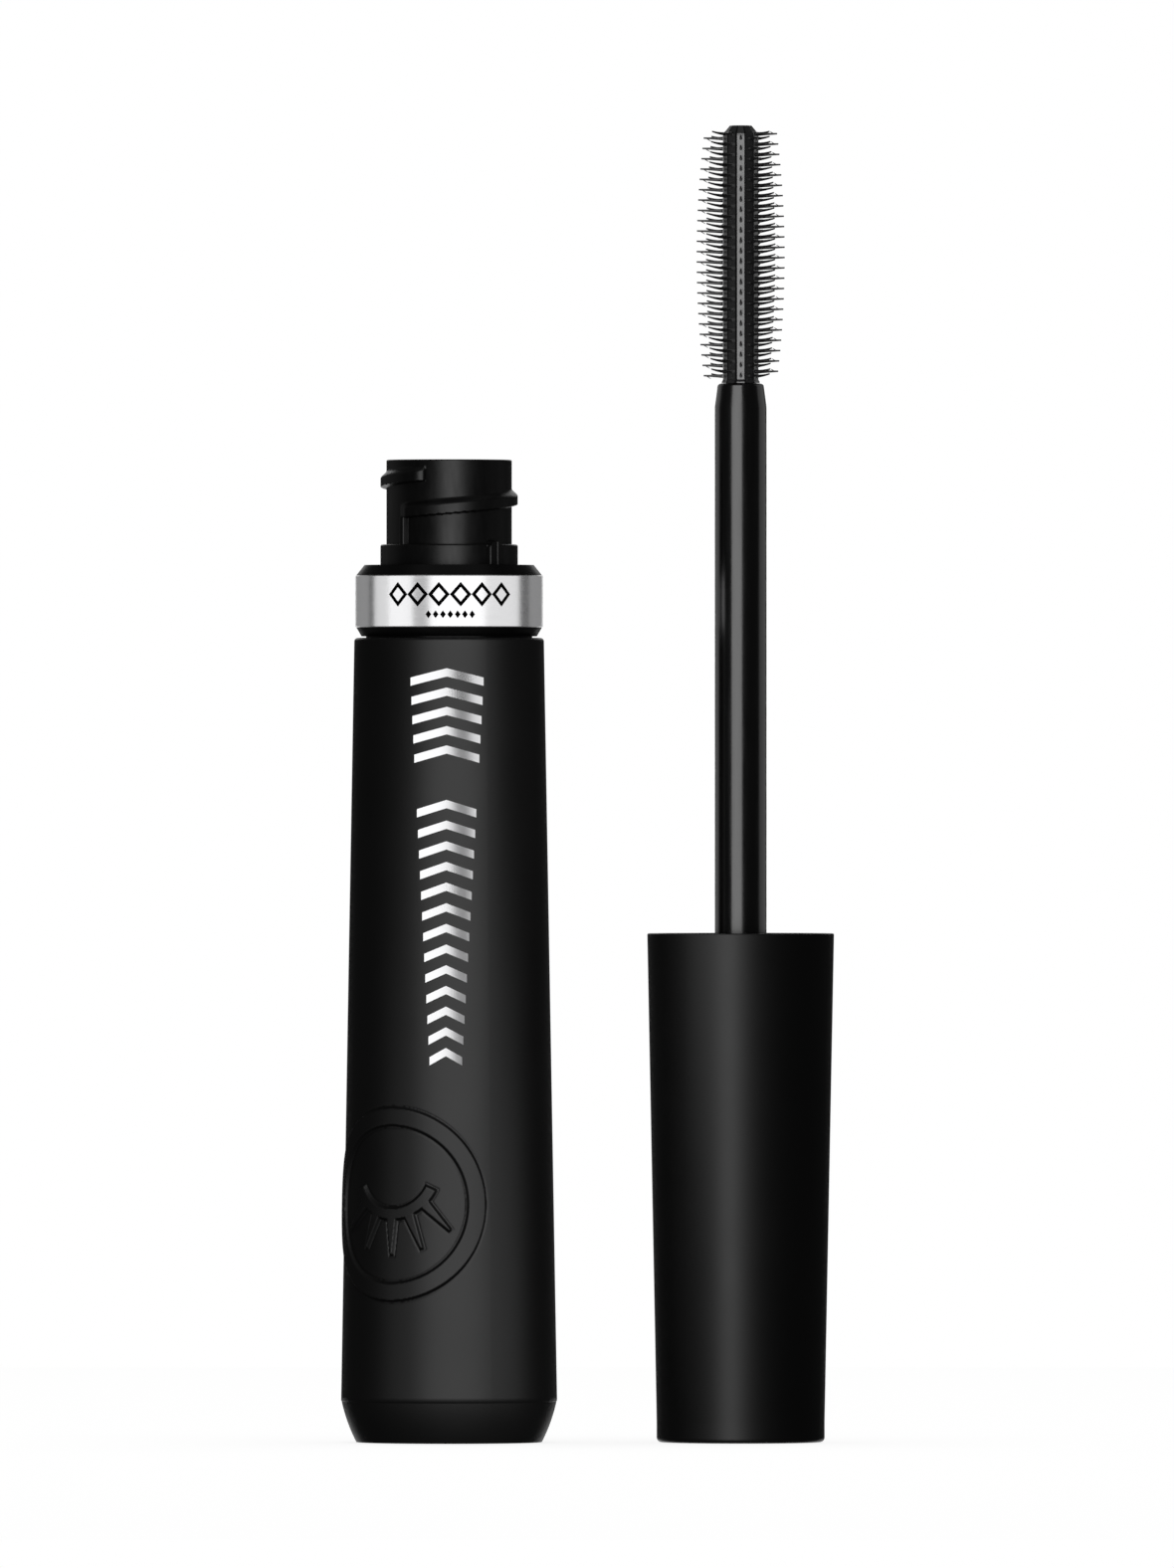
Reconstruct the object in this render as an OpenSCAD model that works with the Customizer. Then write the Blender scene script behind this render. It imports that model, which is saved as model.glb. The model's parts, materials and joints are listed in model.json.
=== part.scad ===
// Mascara with a screw neck, open: the bottle stands on its base and the wand
// stands beside it on the closed end of its cap, brush upwards.
// Millimetres. The origin is the centre of the bottle's base and +Z is up.
// The wand stands towards +X, and the decorated front faces -Y.

/* [Bottle shell] */
// Height of the outer shell
shell_h = 78.4; // [74:0.1:79]
// Widest diameter of the shell, just above its foot
shell_base_d = 21.07; // [20.8:0.01:22]
// Diameter of the shell at its top
shell_top_d = 18.5; // [18.4:0.01:19]
// Height of the curved foot
foot_h = 4; // [3.5:0.1:6]
// Diameter of the face that the bottle stands on
foot_d = 18.1; // [17.8:0.1:18.6]
// Wall thickness of the shell
shell_wall = 1.1; // [1:0.05:1.15]

/* [Raised emblem] */
// Height of the emblem's centre
emblem_z = 23.3; // [18:0.1:60]
// Direction that the emblem faces, seen from above
emblem_dir = -122.5; // [-180:0.5:180]
// Outer radius of the emblem, measured along the surface
emblem_r = 9.48; // [6:0.01:9.6]
// Width of the emblem's rim
emblem_rim = 1.9; // [1.2:0.1:2.4]
// How far the emblem stands out of the shell
emblem_relief = 0.3; // [0.2:0.05:0.5]

/* [Vial and neck] */
// Outer diameter of the vial inside the shell
vial_d = 15.9; // [15.6:0.1:16]
// Outer diameter of the neck
neck_d = 12.22; // [12:0.01:12.4]
// Bore of the neck
neck_bore_d = 10; // [9.8:0.1:10.2]
// Height of the neck's mouth
neck_top = 95.75; // [95.5:0.05:96]
// Diameter of the ring at the root of the neck
neck_ring_d = 13.39; // [13.2:0.01:13.42]
// Height of that ring's top
neck_ring_top = 87.5; // [87:0.1:87.8]

/* [Neck thread] */
// Crest diameter of the outer thread
thread_d = 13.38; // [13.2:0.01:13.4]
// Rise of the thread in one turn
thread_lead = 3.4; // [3.3:0.05:3.5]
// Angle that the outer thread covers
thread_span = 383; // [360:1:384]
// Angle that the cap turns from loose to shut
turn_deg = 380; // [376:1:381]

/* [Collar] */
// Height of the collar's top, where the cap's rim lands
collar_top = 85.5; // [85.3:0.05:85.6]
// Diameter of the metallised band
band_d = 18.3; // [18.2:0.05:18.5]
// Width of the metallised band
band_w = 5.1; // [4.5:0.1:5.2]

/* [Wiper] */
// Diameter of the hole that wipes the stem
wiper_hole_d = 5.24; // [5.2:0.01:5.4]

/* [Cap] */
// Length of the cap
cap_h = 49.6; // [49.4:0.05:50]
// Diameter of the cap at its rim
cap_rim_d = 18.2; // [18.1:0.01:18.5]
// Diameter of the cap at its closed end
cap_end_d = 16.37; // [16.3:0.01:17]
// Wall thickness of the cap
cap_wall = 0.9; // [0.8:0.05:0.95]

/* [Wand] */
// Distance from the bottle's axis to the wand's axis
wand_x = 28.42; // [24:0.01:40]
// Diameter of the stem
stem_d = 5.09; // [5:0.01:5.12]
// Height of the stem's end, with the cap standing on its closed end
stem_top = 103.2; // [103:0.1:104]

/* [Brush] */
// Height of the brush's tip
brush_top = 128.35; // [128:0.05:128.4]
// Diameter of the brush's core
core_d = 3.54; // [3.3:0.01:3.7]
// Diameter over the bristles at the widest place
bristle_d = 8.6; // [7:0.1:8.6]
// Rows of bristles around the core, an even number
bristle_rows = 12; // [8:2:12]
// Bristles in each row
bristles_per_row = 24; // [12:1:24]

/* [Hidden] */
$fn = 96;

fit_gap = 0.02;          // between pieces pressed into each other
turn_gap = 0.05;         // between pieces that turn or slide on each other
seat_gap = 0.05;         // left over the collar and the mouth when the cap is shut
edge = 0.3;              // chamfer on the moulded pieces' corners

foot_sag = 0.14;         // how far the foot's curve bows out from a straight line
foot_step = 0.08;        // crease between the foot and the shell's side
foot_bore_d = 16.4;      // opening in the shell's foot, closed by the plug
foot_bore_h = 3;
shell_edge_r = 0.35;
plug_h = 1.35;
plug_pin_d = 3.2;        // dimple under the middle of the vial
plug_step = 0.4;         // depth of the plug's dish
label_t = 0.1;
label_d = 14.8;

vial_floor = 1.5;        // underside of the vial
vial_floor_t = 0.9;
vial_corner = 0.8;       // chamfer at the vial's bottom, outside
bore_corner = 0.6;       // and inside
vial_bore_d = 14;
vial_shoulder = 73.4;
vial_roof_t = 1.4;
ring_edge = 0.25;        // chamfers at the ring's top and at the mouth
neck_edge = 0.12;
sink = 0.3;              // how deep ribs and lugs reach into the wall that they stand on
rib_w = 0.64;            // stop rib where the outer thread starts
lug_dir = -48.7;
lug_w = 1.66;
lug_h = 2.4;
lug_out = 0.35;
lug_peak = 0.65;         // height of the lug's sloping shoulders

thread_dir = -134.7;     // where the outer thread starts
thread_z = 90.83;        // its middle height there
thread_step = 6;         // degrees between two sections of a thread
thread_ease = 12;        // degrees in which a thread rises to its full depth
blunt_end = 0.4;         // depth of a thread at its very ends, of the full depth
// Sections of the threads as [depth, height]; depth 0 is the wall, 1 the crest
outer_section = [[-0.5, -0.95], [1, -0.65], [1, 0.1], [-0.5, 1.225]];
inner_section = [[-0.4, -1.0], [1, -1.0], [1, -1.6], [-0.4, -2.44]];
inner_from = 8;          // the inner thread's ends, in degrees along the shut outer thread
inner_to = 300;

collar_bore_d = 13.5;
collar_skirt_d = 16.2;
collar_skirt_bottom = 73.6;
collar_bottom = 78.55;
collar_bottom_d = 17.1;
collar_edge_d = 18.1;    // at both edges of the band
collar_chamfer_h = 1;
collar_top_d = 16.5;
band_t = 0.6;

flange_d = 10.9;         // wiper's rim, sunk in the neck's mouth
flange_h = 0.7;
wiper_mouth_d = 8.6;
wiper_wall = 0.6;
wiper_h = 7.75;
lip_top = 95.3;          // straight part of the wiper's hole
lip_h = 1.2;
lip_rise = 0.9;          // how far the lip slopes down from the sleeve to the hole

fill_d = 13.9;
fill_channel_d = 8.9;    // channel that the brush leaves in the paste
fill_bottom = 6.5;
fill_top = 67;
fill_slope = 1.5;        // how far the paste's surface dips towards the channel
film_d = 5.0;
film_top = 95.2;
film_h = 0.5;
film_edge = 0.15;

shut_z = cap_h + collar_top;                 // cap's end to bottle's base, shut
cap_end_wall = 1.6;
cap_corner_r = 0.45;
cap_rim_r = 0.15;
cap_straight_h = 2;
insert_d = 15.7;                             // inner cap
insert_top = cap_h - 2.8;
deck_top = shut_z - neck_top - seat_gap - 1.03;
deck_t = 2;
thread_bore_d = 13.64;
inner_crest_d = 12.5;
socket_d = 8.4;
socket_bottom = 24;
socket_floor = 1.2;
web_t = 0.9;
web_d = 14.4;
gasket_d = 12.6;
gasket_h = 0.98;

stem_shoulder_h = 2.3;
stem_shoulder_d = 4.56;
stem_edge_r = 0.3;
stem_bore_d = 2.5;
stem_bore_bottom = 34;

core_taper_h = 0.95;
core_tip_d = 2.12;
core_flat = 23;                              // degrees that one flat of the core covers
tail_l = 9;
bristle_pitch = 1.007;
bristle_first = 103.92;                      // height of the lowest bristle
bristle_shift = 0.43;                        // height step between the two kinds of rows
bristle_root = 0.36;                         // width across a bristle's root and its tip
bristle_tip = 0.1;
bristle_waist = 0.84;                        // bristle length at the brush's ends, of the longest
short_rows = 0.9;                            // bristle length in every second row, of its neighbour's

// Points from a to b along a shallow curve that bows sag to the right of the line
function bow(a, b, sag, n) =
    let (d = b - a, side = [d.y, -d.x] / norm(d))
    [for (i = [0:n]) let (t = i / n) a + d * t + side * sag * 4 * t * (1 - t)];

// Quarter circle that rounds a corner, from one angle to another
function corner(centre, r, from, to, n = 6) =
    [for (i = [0:n]) let (a = from + (to - from) * i / n) centre + r * [cos(a), sin(a)]];

function mix(a, b, t) = a + (b - a) * t;

// Radius of the shell's side at a height
function shell_r(z) = mix(shell_base_d, shell_top_d, (z - foot_h) / (shell_h - foot_h)) / 2;

module lathe(points) {
    rotate_extrude() polygon(points);
}

module at_wand() {
    translate([wand_x, 0, 0]) children();
}

// Ring of rectangular section
module band_ring(outer_d, inner_d, z0, z1) {
    lathe([[inner_d / 2, z0], [outer_d / 2, z0], [outer_d / 2, z1], [inner_d / 2, z1]]);
}

// A ridge swept along a helix. Each entry of stations is [angle, height, ease],
// and section holds [depth, height] points, with depth measured from wall_r to crest_r.
module helix_ridge(stations, section, wall_r, crest_r) {
    n = len(section);
    m = len(stations);
    points = [for (s = stations) for (p = section)
        let (rise = p.x > 0 ? p.x * s[2] : p.x, r = wall_r + (crest_r - wall_r) * rise)
        [r * cos(s[0]), r * sin(s[0]), s[1] + p.y]];
    sides = [for (i = [0:m - 2]) for (j = [0:n - 1])
        let (k = (j + 1) % n)
        each [[i * n + j, (i + 1) * n + k, (i + 1) * n + j],
              [i * n + j, i * n + k, (i + 1) * n + k]]];
    first = [for (j = [1:n - 2]) [0, j + 1, j]];
    last = [for (j = [1:n - 2]) [(m - 1) * n, (m - 1) * n + j, (m - 1) * n + j + 1]];
    polyhedron(points, concat(sides, first, last));
}

// How far the ridge stands out at t degrees along a thread that runs from a to b
function ease(t, a, b) = min(1, blunt_end + (t - a) / thread_ease, blunt_end + (b - t) / thread_ease);

function steps(a, b) = let (n = ceil((b - a) / thread_step)) [for (i = [0:n]) mix(a, b, i / n)];

// Flat emblem outlines, as points [along, up] on the unrolled surface
function ring_points(r, n) = [for (i = [0:n - 1]) r * [cos(360 * i / n), sin(360 * i / n)]];
function arc_points(r, from, to, n) = [for (i = [0:n]) let (a = mix(from, to, i / n)) r * [cos(a), sin(a)]];
function reversed(list) = [for (i = [len(list) - 1:-1:0]) list[i]];

// Unrolled outline as it is seen from straight in front of the emblem
module wrapped(points) {
    r = shell_r(emblem_z);
    polygon([for (p = points) [r * sin(p.x / r * 180 / PI), p.y]]);
}

// A closed eyelid with five lashes, inside a round rim
module emblem_outline() {
    lid_r = 5.2;
    lid_w = 1.3;
    lid_up = 3.6;
    lash_from = 4.9;
    lash_to = 8.6;
    root_w = 1.24;
    tip_w = 0.44;
    difference() {
        wrapped(ring_points(emblem_r, 72));
        wrapped(ring_points(emblem_r - emblem_rim, 60));
    }
    wrapped([for (p = concat(arc_points(lid_r, 205, 335, 20),
                             reversed(arc_points(lid_r - lid_w, 205, 335, 20)))) p + [0, lid_up]]);
    for (a = [226, 248, 270, 292, 314]) {
        side = [-sin(a), cos(a)];
        out = [cos(a), sin(a)];
        wrapped([for (p = [out * lash_from - side * root_w / 2, out * lash_to - side * tip_w / 2,
                           out * lash_to + side * tip_w / 2, out * lash_from + side * root_w / 2])
                 p + [0, lid_up]]);
    }
}

module emblem() {
    reach = shell_base_d;
    z0 = emblem_z - emblem_r - 1;
    z1 = emblem_z + emblem_r + 1;
    intersection() {
        translate([0, 0, emblem_z]) rotate([90, 0, emblem_dir + 90])
            linear_extrude(height = reach) emblem_outline();
        lathe([[shell_r(z0) - shell_wall / 2, z0], [shell_r(z0) + emblem_relief, z0],
               [shell_r(z1) + emblem_relief, z1], [shell_r(z1) - shell_wall / 2, z1]]);
    }
}

module outer_shell() {
    base_r = shell_base_d / 2;
    top_r = shell_top_d / 2;
    color("#1c1c1d") {
        lathe(concat(
            [[foot_bore_d / 2, 0]],
            bow([foot_d / 2, 0], [base_r - foot_step, foot_h], foot_sag, 8),
            [[base_r, foot_h + foot_step]],
            corner([top_r - shell_edge_r, shell_h - shell_edge_r], shell_edge_r, 0, 90),
            [[top_r - shell_wall, shell_h],
             [base_r - shell_wall, foot_bore_h + 1],
             [foot_bore_d / 2, foot_bore_h]]));
        emblem();
    }
}

// Disc that closes the foot of the shell and carries the vial
module base_plug() {
    r = foot_bore_d / 2 - fit_gap;
    z0 = label_t;
    z1 = z0 + plug_h;
    color("#161617")
        lathe([[0, z0], [r - edge, z0], [r, z0 + edge], [r, z1], [r - 0.8, z1],
               [r - 0.8 - plug_step, z1 - plug_step], [plug_pin_d / 2 + plug_step, z1 - plug_step],
               [plug_pin_d / 2, z1], [0, z1]]);
}

module base_label() {
    color("#c9c9cb") cylinder(d = label_d, h = label_t);
}

module inner_vial() {
    body_r = vial_d / 2;
    bore_r = vial_bore_d / 2;
    ring_r = neck_ring_d / 2;
    neck_r = neck_d / 2;
    mouth_r = flange_d / 2 + fit_gap;
    roof = vial_shoulder - vial_roof_t;
    floor_z = vial_floor + vial_floor_t;
    color("#2a2a2b") {
        lathe([[0, vial_floor], [body_r - vial_corner, vial_floor], [body_r, vial_floor + vial_corner],
               [body_r, vial_shoulder], [ring_r, vial_shoulder],
               [ring_r, neck_ring_top - ring_edge], [ring_r - ring_edge, neck_ring_top],
               [neck_r, neck_ring_top], [neck_r, neck_top - neck_edge], [neck_r - neck_edge, neck_top],
               [mouth_r, neck_top], [mouth_r, neck_top - flange_h - fit_gap],
               [neck_bore_d / 2, neck_top - flange_h - fit_gap],
               [neck_bore_d / 2, roof + vial_roof_t - 0.2], [bore_r, roof],
               [bore_r, floor_z + bore_corner], [bore_r - bore_corner, floor_z], [0, floor_z]]);
        helix_ridge([for (t = steps(0, thread_span))
                        [thread_dir + t, thread_z + thread_lead * t / 360, ease(t, 0, thread_span)]],
                    outer_section, neck_r, thread_d / 2);
        rotate([0, 0, thread_dir]) translate([neck_r - sink, -rib_w / 2, neck_ring_top - sink])
            cube([thread_d / 2 - neck_r + sink - 0.05, rib_w, thread_z - neck_ring_top - sink]);
        rotate([0, 0, lug_dir]) translate([ring_r - sink, 0, collar_top]) rotate([90, 0, 90])
            linear_extrude(height = lug_out + sink)
                polygon([[-lug_w / 2, fit_gap], [lug_w / 2, fit_gap], [lug_w / 2, lug_h - lug_peak],
                         [lug_w / 4, lug_h], [-lug_w / 4, lug_h], [-lug_w / 2, lug_h - lug_peak]]);
    }
}

module collar_ring() {
    band_z = collar_top - collar_chamfer_h;
    recess_r = band_d / 2 - band_t;
    color("#1a1a1b")
        lathe([[collar_bore_d / 2, collar_skirt_bottom], [collar_skirt_d / 2, collar_skirt_bottom],
               [collar_skirt_d / 2, collar_bottom], [collar_bottom_d / 2, collar_bottom],
               [collar_edge_d / 2, band_z - band_w], [recess_r, band_z - band_w],
               [recess_r, band_z], [collar_edge_d / 2, band_z],
               [collar_top_d / 2, collar_top], [collar_bore_d / 2, collar_top]]);
}

module collar_band() {
    band_z = collar_top - collar_chamfer_h;
    r0 = band_d / 2 - band_t + fit_gap;
    r1 = band_d / 2;
    soft = 0.08;
    color("#d9d9db")
        lathe([[r0, band_z - band_w + fit_gap], [r1 - soft, band_z - band_w + fit_gap],
               [r1, band_z - band_w + fit_gap + soft], [r1, band_z - fit_gap - soft],
               [r1 - soft, band_z - fit_gap], [r0, band_z - fit_gap]]);
}

// Sleeve pressed into the neck, with a lip that scrapes the stem and the brush
module wiper() {
    sleeve_r = neck_bore_d / 2 - fit_gap;
    hole_r = wiper_hole_d / 2;
    inner_r = sleeve_r - wiper_wall;
    under = lip_top - lip_h;
    color("#3a3a3c")
        lathe([[hole_r, under], [inner_r, under + lip_rise], [inner_r, neck_top - wiper_h],
               [sleeve_r - edge, neck_top - wiper_h], [sleeve_r, neck_top - wiper_h + 2 * edge],
               [sleeve_r, neck_top - flange_h], [flange_d / 2, neck_top - flange_h],
               [flange_d / 2, neck_top], [wiper_mouth_d / 2, neck_top], [hole_r, lip_top]]);
}

// Paste left on the vial's wall, with the channel of the brush through it
module mascara_fill() {
    r0 = fill_channel_d / 2;
    r1 = fill_d / 2;
    color("#0b0b0c")
        lathe([[r0, fill_bottom], [r1 - vial_corner, fill_bottom], [r1, fill_bottom + vial_corner],
               [r1, fill_top], [r0 + 0.3, fill_top - fill_slope], [r0, fill_top - fill_slope - 0.6]]);
}

// Film of paste that stays across the wiper's hole
module paste_film() {
    z0 = film_top - film_h;
    r = film_d / 2;
    color("#0b0b0c")
        lathe([[0, z0 + film_edge], [r - film_edge, z0], [r, z0 + film_edge], [r, film_top],
               [0, film_top - film_edge]]);
}

module outer_cap() {
    end_r = cap_end_d / 2;
    rim_r = cap_rim_d / 2;
    color("#1c1c1d") at_wand()
        lathe(concat(
            [[0, 0]],
            corner([end_r - cap_corner_r, cap_corner_r], cap_corner_r, -90, 0),
            [[end_r, cap_straight_h]],
            corner([rim_r - cap_rim_r, cap_h - cap_rim_r], cap_rim_r, 0, 90),
            [[rim_r - cap_wall, cap_h], [end_r - cap_wall, cap_straight_h], [end_r - cap_wall - 0.4, cap_end_wall],
             [0, cap_end_wall]]));
}

// Threaded insert that holds the stem inside the cap
module inner_cap() {
    out_r = insert_d / 2;
    bore_r = thread_bore_d / 2;
    socket_r = stem_d / 2 + turn_gap;
    socket_under = socket_bottom - socket_floor;
    color("#19191a") at_wand() {
        lathe([[0, socket_under], [socket_d / 2 - edge, socket_under],
               [socket_d / 2, socket_under + edge], [socket_d / 2, deck_top - deck_t],
               [out_r, deck_top - deck_t], [out_r, insert_top], [bore_r + edge, insert_top],
               [bore_r, insert_top - edge], [bore_r, deck_top],
               [socket_r, deck_top], [socket_r, socket_bottom], [0, socket_bottom]]);
        helix_ridge([for (t = steps(inner_from, inner_to))
                        [180 - (thread_dir + t) - turn_deg,
                         shut_z - (thread_z + thread_lead * t / 360), ease(t, inner_from, inner_to)]],
                    [for (p = inner_section) [p.x, -p.y]], bore_r, inner_crest_d / 2);
        for (a = [0:60:300]) rotate([0, 0, a])
            translate([socket_d / 2 - sink, -web_t / 2, socket_bottom])
                cube([(web_d - socket_d) / 2 + sink, web_t, deck_top - deck_t - socket_bottom + sink]);
    }
}

module sealing_gasket() {
    z0 = deck_top + turn_gap;
    color("#8d8f93") at_wand()
        band_ring(gasket_d, stem_d + 2 * fit_gap, z0, z0 + gasket_h);
}

module stem() {
    r = stem_d / 2;
    shoulder_r = stem_shoulder_d / 2;
    z0 = socket_bottom + turn_gap;
    color("#151516") at_wand()
        lathe(concat(
            [[0, z0], [r - edge, z0], [r, z0 + edge], [r, stem_top - stem_shoulder_h]],
            corner([shoulder_r - stem_edge_r, stem_top - stem_edge_r], stem_edge_r, 0, 90),
            [[stem_bore_d / 2, stem_top], [stem_bore_d / 2, stem_bore_bottom], [0, stem_bore_bottom]]));
}

// Length of the bristles varies along the brush like the outline of a barrel
function bristle_r(z) =
    let (t = (z - bristle_first) / (bristle_pitch * (bristles_per_row - 1)) * 2 - 1)
    bristle_d / 2 * mix(1, bristle_waist, t * t);

// Rows come in pairs, and every second pair sits a little higher
function row_shift(i) = floor(i / 2) % 2 == 0 ? 0 : bristle_shift;

module bristle(reach) {
    root_r = core_d / 2 - 0.25;
    rotate([0, 90, 0]) translate([0, 0, root_r])
        cylinder(d1 = bristle_root, d2 = bristle_tip, h = reach - root_r, $fn = 4);
}

module brush_core() {
    r = core_d / 2;
    z0 = stem_top + turn_gap;
    intersection() {
        translate([0, 0, z0]) linear_extrude(height = brush_top - z0)
            polygon([for (i = [0:bristle_rows - 1]) for (s = [-1, 1])
                let (a = -90 + 360 * i / bristle_rows + s * core_flat / 2) r * [cos(a), sin(a)]]);
        lathe([[0, z0], [r + 0.1, z0], [r + 0.1, brush_top - core_taper_h],
               [core_tip_d / 2, brush_top], [0, brush_top]]);
    }
    translate([0, 0, stem_top - tail_l]) cylinder(r = stem_bore_d / 2 - turn_gap, h = tail_l + 0.5);
}

module brush() {
    color("#1e1e1f") at_wand() {
        brush_core();
        for (i = [0:bristle_rows - 1]) for (k = [0:bristles_per_row - 1]) {
            z = bristle_first + bristle_pitch * k;
            translate([0, 0, z + row_shift(i)]) rotate([0, 0, -90 + 360 * i / bristle_rows])
                bristle(bristle_r(z) * (i % 2 == 0 ? short_rows : 1));
        }
    }
}

outer_shell();
base_plug();
base_label();
inner_vial();
collar_ring();
collar_band();
wiper();
mascara_fill();
paste_film();
outer_cap();
inner_cap();
sealing_gasket();
stem();
brush();
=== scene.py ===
"""Looks of an open mascara round its CAD frame: materials, studio, shell, neck, brush and prints."""
import json
import math

import bmesh
import bpy
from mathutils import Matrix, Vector


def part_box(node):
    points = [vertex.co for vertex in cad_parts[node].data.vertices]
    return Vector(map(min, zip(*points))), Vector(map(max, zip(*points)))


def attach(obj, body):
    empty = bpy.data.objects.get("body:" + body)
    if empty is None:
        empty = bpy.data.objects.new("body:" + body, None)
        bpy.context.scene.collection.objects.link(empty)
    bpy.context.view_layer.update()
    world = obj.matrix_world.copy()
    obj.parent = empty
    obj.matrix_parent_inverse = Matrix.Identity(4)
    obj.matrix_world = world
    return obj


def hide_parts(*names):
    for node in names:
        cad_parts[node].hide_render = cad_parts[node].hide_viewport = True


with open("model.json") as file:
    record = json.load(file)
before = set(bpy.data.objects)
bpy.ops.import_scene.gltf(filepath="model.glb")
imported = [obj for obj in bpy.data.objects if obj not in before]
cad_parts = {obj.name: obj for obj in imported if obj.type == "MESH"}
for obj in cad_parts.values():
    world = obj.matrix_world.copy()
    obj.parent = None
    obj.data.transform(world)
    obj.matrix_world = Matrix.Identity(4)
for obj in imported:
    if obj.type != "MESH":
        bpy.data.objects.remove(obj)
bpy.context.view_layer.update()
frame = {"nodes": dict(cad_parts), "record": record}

MM = 0.001

# ---------------------------------------------------------------- places taken from the frame

shell_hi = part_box("outer_shell")[1]
cap_lo, cap_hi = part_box("outer_cap")
band_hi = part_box("collar_band")[1]
brush_lo, brush_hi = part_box("brush")
stem_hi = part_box("stem")[1]
vial_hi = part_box("inner_vial")[1]

WAND_X = (cap_lo.x + cap_hi.x) / 2
FRONT = -math.pi / 2     # the side that the camera sees, as an angle about +Z
SHARP_ANGLE = 50         # degrees between two faces that meet in a sharp edge


def mix(a, b, t):
    return a + (b - a) * t


def ramp(x, start, end):
    """0 before start and 1 after end, eased in between."""
    t = max(0.0, min(1.0, (x - start) / (end - start)))
    return t * t * (3 - 2 * t)


# ---------------------------------------------------------------- mesh helpers

def add_mesh(name, verts, faces, material, smooth_shade=True):
    mesh = bpy.data.meshes.new(name)
    mesh.from_pydata([tuple(v) for v in verts], [], faces)
    mesh.validate()
    bm = bmesh.new()
    bm.from_mesh(mesh)
    bmesh.ops.recalc_face_normals(bm, faces=bm.faces)
    bm.to_mesh(mesh)
    bm.free()
    mesh.materials.append(material)
    if smooth_shade:
        mesh.shade_smooth()
    obj = bpy.data.objects.new(name, mesh)
    bpy.context.scene.collection.objects.link(obj)
    return obj


def tube(verts, faces, rings, closed=False):
    """Joins rings of points into a tube with flat ends, or into a closed loop of rings."""
    start, n, m = len(verts), len(rings[0]), len(rings)
    for ring in rings:
        verts.extend(ring)
    for i in range(m if closed else m - 1):
        low, high = start + i * n, start + (i + 1) % m * n
        for j in range(n):
            k = (j + 1) % n
            faces.append((low + j, low + k, high + k, high + j))
    if not closed:
        faces.append(tuple(range(start + n - 1, start - 1, -1)))
        faces.append(tuple(range(start + (m - 1) * n, start + m * n)))


def lathe_relief(name, profile, angles, relief, material, closed):
    """A turned piece. The profile lists (radius, z, raised); relief(angle, z, radius) gives the
    radius of the raised rows."""
    rings = []
    for radius, z, raised in profile:
        ring = []
        for a in angles:
            r = relief(a, z, radius) if raised else radius
            ring.append(Vector((math.cos(a) * r, math.sin(a) * r, z)))
        rings.append(ring)
    verts, faces = [], []
    tube(verts, faces, rings, closed)
    obj = add_mesh(name, verts, faces, material)
    obj.data.set_sharp_from_angle(angle=math.radians(SHARP_ANGLE))
    return obj


def spread(start, end, step):
    """Evenly spaced numbers from start to end, about step apart."""
    count = max(1, round(abs(end - start) / step))
    return [mix(start, end, i / count) for i in range(count + 1)]


def round_over(radius, top, size, steps, raised):
    """Profile rows of a quarter round between an upright wall and the flat on top of it."""
    rows = []
    for i in range(1, steps + 1):
        a = math.pi / 2 * i / steps
        rows.append((radius - size * (1 - math.cos(a)), top - size * (1 - math.sin(a)), raised))
    return rows


# ---------------------------------------------------------------- materials

NOISE_LOW, NOISE_HIGH = 0.3, 0.7  # the range in which a noise mostly lies


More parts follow.
